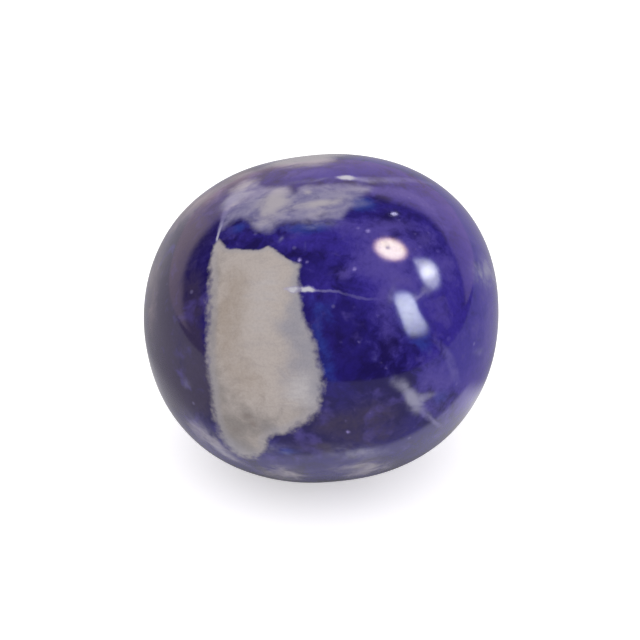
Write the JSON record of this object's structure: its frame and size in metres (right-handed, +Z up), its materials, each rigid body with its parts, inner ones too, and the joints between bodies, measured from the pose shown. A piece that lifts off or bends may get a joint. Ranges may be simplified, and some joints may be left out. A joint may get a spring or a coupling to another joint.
{
  "type": "tumbled lapis lazuli stone",
  "caption": "Polished tumbled lapis lazuli pebble, deep ultramarine with pale calcite patches and veins, resting on a small flat spot.",
  "frame": {"origin": "middle of the stone's plan, on the ground that its flat spot rests on", "axes": "+Z up, -Y towards the face with the large pale patch, +X to its right"},
  "size_m": [0.026, 0.0248, 0.0228],
  "materials": {
    "lapis": "tumbled to a glossy polish"
  },
  "bodies": {
    "root": {"stone": "lapis"}
  },
  "joints": []
}
